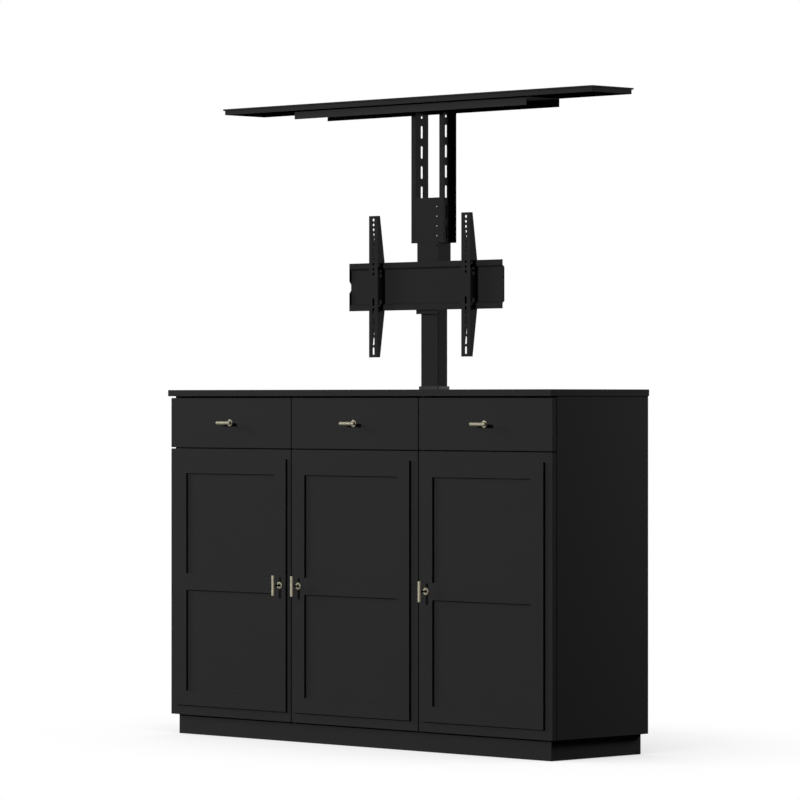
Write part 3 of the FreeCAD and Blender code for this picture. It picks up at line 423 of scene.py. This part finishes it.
for foot in (0, high.z - low.z - journal):  # plain ends that run in the bearings
    top = foot + journal
    journalProfile = [(0, foot), (radius - chamfer, foot), (radius, foot + chamfer), (radius, top - chamfer),
                      (radius - chamfer, top), (0, top)]
    join(form, turned(journalProfile, thread["journalSteps"]), Matrix.Translation(mm(0, 0, low.z)))
form.transform(Matrix.Translation(mm(*axle)))
newPiece("driveScrew", form, riders["drive_screw"], [zinc], ["drive_screw"])
print("drive screw threaded")


# Fasteners: each head sinks a hair into what it holds
sink = 0.05
panScrew = {"radius": 3.6, "height": 1.9, "recess": 1.1}
lowScrew = {"radius": 3.6, "height": 1.1, "recess": 0.6}
flushScrew = {"radius": 4.0, "height": 0.75, "recess": 0.6}
handleBolt = {"radius": 4.5, "height": 2.4, "recess": 1.3}
crossRecess = {"dome": ((1, 0.4), (0.85, 0.8), (0.55, 1), (0.45, 1)), "width": 0.45, "rim": (0.3, 0.5),
               "waist": 0.4, "steps": 16}  # shares of a head's radius and height
baseBolt = {"washer": 9, "washerThick": 1.6, "across": 7.4, "height": 5.3, "crown": 0.8, "crownWidth": 1,
            "steps": 24}
rivetNut = {"bore": 1.8, "radius": 3.55, "depth": 1.4, "recess": 0.1, "steps": 24,
            "row": 39, "first": -8.3, "pitch": 28.8, "count": 5}


def crossHead(look):
    # a pan head with a cross recess
    wide, high, bottom = look["radius"], look["height"], look["height"] - look["recess"]
    dome = [(width * wide, height * high) for width, height in crossRecess["dome"]]
    form = turned([(0, -sink), (wide, -sink), *dome, (crossRecess["width"] * wide, bottom), (0, bottom)],
                  crossRecess["steps"])
    inner, outer = (mm(share * wide) for share in crossRecess["rim"])
    for v in form.verts:
        offAxis = min(abs(v.co.x), abs(v.co.y)) > mm(shaping["weld"])
        if offAxis and inner < math.hypot(v.co.x, v.co.y) < outer:
            v.co.x *= crossRecess["waist"]
            v.co.y *= crossRecess["waist"]
    return form


def hexagonHead(look):
    # a bolt with a flat washer
    washer, thick, wide = look["washer"], look["washerThick"], look["across"]
    form = turned([(0, -sink), (washer, -sink), (washer, thick), (0, thick)], look["steps"])
    foot, top = thick - sink, thick + look["height"]
    join(form, turned([(0, foot), (wide, foot), (wide, top - look["crown"]), (wide - look["crownWidth"], top),
                       (0, top)], 6), Matrix())
    return form


def threadedSleeve(look):
    # a flush rivet nut, which fills its hole but for the bore
    bore, radius, foot, top = look["bore"], look["radius"], -look["depth"], -look["recess"]
    return turned([(bore, foot), (radius, foot), (radius, top), (bore, top)], look["steps"], closed=True)


def fasteners(name, body, finish, shape, look, places):
    form = bmesh.new()
    for place, outward in places:
        join(form, shape(look), stand(place, outward))
    newPiece(name, form, body, [finish])


# the two inner faces of each cupboard bay
bayFaces = {"left": (corners("side_left")[1].x, corners("partition_left")[0].x),
            "middle": (corners("partition_left")[1].x, corners("partition_right")[0].x),
            "right": (corners("partition_right")[1].x, corners("side_right")[0].x)}
low, high = corners("back_panel")
margin, columns, rows = backLook["margin"], backLook["columns"], backLook["rows"]
across = [low.x + margin + (high.x - low.x - 2 * margin) * i / (columns - 1) for i in range(columns)]
upward = [low.z + margin + (high.z - low.z - 2 * margin) * i / (rows - 1) for i in range(rows)]
rim = [(x, z) for x in across for z in (upward[0], upward[-1])]
rim += [(x, z) for x in (across[0], across[-1]) for z in upward[1:-1]]
fasteners("backPanelScrews", "cabinet", zinc, crossHead, flushScrew,
          [((x, high.y - backLook["recess"], z), (0, 1, 0)) for x, z in rim])

hinge = {"fromDoorEnd": 100, "footThick": 2, "footBack": 29, "footLift": 16.5, "armThick": 11,
         "armPlaces": (26, 56), "cupLift": 20.5}
doorLow, doorHigh = corners("door_panel_left")
levels = (doorLow.z + hinge["fromDoorEnd"], doorHigh.z - hinge["fromDoorEnd"])
armLow, armHigh = corners("hinge_arms")
footScrews, armScrews = [], []
for bay in bays:
    side = 0 if bay == "left" else 1
    face, inward = bayFaces[bay][side], 1 - 2 * side
    for level in levels:
        footScrews += [((face + hinge["footThick"] * inward, armHigh.y - hinge["footBack"], level + lift),
                        (inward, 0, 0)) for lift in (-hinge["footLift"], hinge["footLift"])]
        armScrews += [((face + hinge["armThick"] * inward, armLow.y + along, level), (inward, 0, 0))
                      for along in hinge["armPlaces"]]
fasteners("hingeFootScrews", "cabinet", zinc, crossHead, panScrew, footScrews)
fasteners("hingeArmScrews", "cabinet", zinc, crossHead, lowScrew, armScrews)

shelfAngle = {"thick": 1.5, "lift": 5.5, "fromEnd": 6}
low, high = corners("shelf_angles")
fasteners("shelfAngleScrews", "cabinet", zinc, crossHead, lowScrew,
          [((bayFaces[bay][side] + shelfAngle["thick"] * way, y, low.z + shelfAngle["lift"]), (way, 0, 0))
           for bay in bays for side, way in ((0, 1), (1, -1))
           for y in (low.y + shelfAngle["fromEnd"], high.y - shelfAngle["fromEnd"])])

drawer = {"board": 12, "screwsAcross": (-160, 160), "screwsUp": (-28, 28), "runnerThick": 1.5,
          "runnerPlaces": (14, 62, 116)}
for bay in bays:
    body = "drawer_" + bay
    low, high = corners("drawer_box_" + bay)
    frontLow, frontHigh = corners("drawer_front_" + bay)
    middle, frontBoard, level = (low.x + high.x) / 2, low.y + drawer["board"], (frontLow.z + frontHigh.z) / 2
    fasteners("drawerFrontScrews_" + bay, body, zinc, crossHead, panScrew,
              [((middle + x, frontBoard, level + z), (0, 1, 0))
               for x in drawer["screwsAcross"] for z in drawer["screwsUp"]])
    fasteners("drawerHandleBolt_" + bay, body, zinc, crossHead, handleBolt,
              [((middle, frontBoard, level), (0, 1, 0))])
    runnerLow, runnerHigh = corners("drawer_runners_" + bay)
    level = (runnerLow.z + runnerHigh.z) / 2
    fasteners("runnerScrews_" + bay, body, zinc, crossHead, lowScrew,
              [((x + way * drawer["runnerThick"], runnerLow.y + along, level), (way, 0, 0))
               for x, way in ((low.x, -1), (high.x, 1)) for along in drawer["runnerPlaces"]])
    body = "door_" + bay
    cupLow, cupHigh = corners("hinge_cups_" + bay)
    fasteners("hingeCupScrews_" + bay, body, zinc, crossHead, lowScrew,
              [(((cupLow.x + cupHigh.x) / 2, cupHigh.y, level + lift), (0, 1, 0))
               for level in levels for lift in (-hinge["cupLift"], hinge["cupLift"])])
    gripLow, gripHigh = corners("door_handle_" + bay)
    fasteners("doorHandleBolt_" + bay, body, zinc, crossHead, handleBolt,
              [(((gripLow.x + gripHigh.x) / 2, doorHigh.y, (gripLow.z + gripHigh.z) / 2), (0, 1, 0))])

liftFoot = {"boltsIn": 14, "housingScrewsIn": 16, "housingScrewsUp": 6, "boxScrewsIn": 8}
tray = {"sheet": 2, "screws": (-420, -250, 250, 420)}


def inside(low, high, margin):
    return low + margin, high - margin


low, high = corners("lift_base")
fasteners("liftBaseBolts", "cabinet", zinc, hexagonHead, baseBolt,
          [((x, y, high.z), (0, 0, 1)) for x in inside(low.x, high.x, liftFoot["boltsIn"])
           for y in inside(low.y, high.y, liftFoot["boltsIn"])])
low, high = corners("gear_housing")
fasteners("gearHousingScrews", "cabinet", zinc, crossHead, panScrew,
          [((x, low.y, z), (0, -1, 0)) for x in inside(low.x, high.x, liftFoot["housingScrewsIn"])
           for z in inside(low.z, high.z, liftFoot["housingScrewsUp"])])
low, high = corners("control_box")
fasteners("controlBoxScrews", "cabinet", zinc, crossHead, lowScrew,
          [((x, y, high.z), (0, 0, 1)) for x in inside(low.x, high.x, liftFoot["boxScrewsIn"])
           for y in inside(low.y, high.y, liftFoot["boxScrewsIn"])])
low, high = corners("lid_tray")
fasteners("trayScrews", "carriage", powder, crossHead, panScrew,
          [((x, (low.y + high.y) / 2, high.z - tray["sheet"]), (0, 0, -1)) for x in tray["screws"]])
low, high = corners("upright_right")
fasteners("bracketRivetNuts", "carriage", powder, threadedSleeve, rivetNut,
          [((rivetNut["row"], low.y, low.z + rivetNut["first"] + rivetNut["pitch"] * step), (0, -1, 0))
           for step in range(rivetNut["count"])])
print("fasteners driven")


# Camera, floor and light

view = {"sensor": 36, "lens": 206.865, "place": (9.6163, -9.557525, 1.0137), "turn": 45.144}
cameraData = bpy.data.cameras.new("camera")
cameraData.sensor_width = view["sensor"]
cameraData.lens = view["lens"]
camera = bpy.data.objects.new("camera", cameraData)
camera.location = view["place"]
camera.rotation_euler = (math.pi / 2, 0, math.radians(view["turn"]))
bpy.context.scene.collection.objects.link(camera)
bpy.context.scene.camera = camera

studio = {"floorSize": 60, "fill": 0.06, "centre": (0, 0, 0.9)}
contact = {"reach": 1.2, "lean": (0, -0.3, 1), "deepest": 0.46, "clearFrom": 0.9}  # shade round the foot
lamps = {
    "front": {"power": 412, "distance": 7.5, "turn": -3, "rise": 12.5, "width": 0.75, "height": 0.75},
    "left": {"power": 400, "distance": 9.0, "turn": -68, "rise": 14, "width": 3.6, "height": 2.4},
    "rear": {"power": 122, "distance": 3.6, "turn": 145, "rise": 14, "width": 1.2, "height": 0.8},
}


def seenDirectly(tree):
    # 1 for rays from the camera and those that come by gloss or glass, 0 for those that light the object
    ray = addNode(tree, "ShaderNodeLightPath").outputs
    seen = addNode(tree, "ShaderNodeMath", links={0: ray["Is Camera Ray"], 1: ray["Is Glossy Ray"]},
                   operation="MAXIMUM").outputs[0]
    return addNode(tree, "ShaderNodeMath", links={0: seen, 1: ray["Is Transmission Ray"]},
                   operation="MAXIMUM").outputs[0]


form = bmesh.new()
bmesh.ops.create_grid(form, x_segments=1, y_segments=1, size=studio["floorSize"] / 2)
floorMesh = bpy.data.meshes.new("floor")
form.to_mesh(floorMesh)
form.free()
floor = bpy.data.objects.new("floor", floorMesh)
bpy.context.scene.collection.objects.link(floor)

# White paper floor: it glows white to the camera and to reflections, with a painted shade round the object's
# foot, from ambient occlusion leaned towards the front; for diffuse rays it is black, so that it sends no
# light up at the object
paper = bpy.data.materials.new("whitePaper")
paper.use_nodes = True
tree = paper.node_tree
tree.nodes.clear()
lean = addNode(tree, "ShaderNodeCombineXYZ", {axis: value for axis, value in zip("XYZ", contact["lean"])})
lean = addNode(tree, "ShaderNodeVectorMath", links={0: lean.outputs[0]}, operation="NORMALIZE")
shade = addNode(tree, "ShaderNodeAmbientOcclusion", {"Distance": contact["reach"]},
                {"Normal": lean.outputs[0]}, samples=16)
level = addNode(tree, "ShaderNodeMapRange", {"From Max": contact["clearFrom"], "To Min": contact["deepest"],
                                             "To Max": 1.0}, {"Value": shade.outputs["AO"]})
glow = addNode(tree, "ShaderNodeEmission", {"Color": [1, 1, 1, 1]}, {"Strength": level.outputs[0]})
dark = addNode(tree, "ShaderNodeBsdfDiffuse", {"Color": [0, 0, 0, 1]})
mixed = addNode(tree, "ShaderNodeMixShader",
                links={0: seenDirectly(tree), 1: dark.outputs[0], 2: glow.outputs[0]})
addNode(tree, "ShaderNodeOutputMaterial", links={"Surface": mixed.outputs[0]})
floor.data.materials.append(paper)
print("floor laid")

world = bpy.data.worlds.new("studio")
bpy.context.scene.world = world
world.use_nodes = True
tree = world.node_tree
tree.nodes.clear()
level = addNode(tree, "ShaderNodeMapRange", {"To Min": studio["fill"], "To Max": 1.0},
                {"Value": seenDirectly(tree)})
sky = addNode(tree, "ShaderNodeBackground", {"Color": [1, 1, 1, 1]}, {"Strength": level.outputs["Result"]})
addNode(tree, "ShaderNodeOutputWorld", links={"Surface": sky.outputs[0]})

for name, lamp in lamps.items():
    data = bpy.data.lights.new(name, "AREA")
    data.shape = "RECTANGLE"
    data.size = lamp["width"]
    data.size_y = lamp["height"]
    data.energy = lamp["power"]
    light = bpy.data.objects.new(name, data)
    turn, rise = math.radians(lamp["turn"]), math.radians(lamp["rise"])
    away = Vector((math.sin(turn) * math.cos(rise), -math.cos(turn) * math.cos(rise), math.sin(rise)))
    light.location = Vector(studio["centre"]) + away * lamp["distance"]
    light.rotation_euler = away.to_track_quat("Z", "Y").to_euler()
    bpy.context.scene.collection.objects.link(light)
print("lamps placed")

bpy.context.scene.view_settings.view_transform = "Standard"
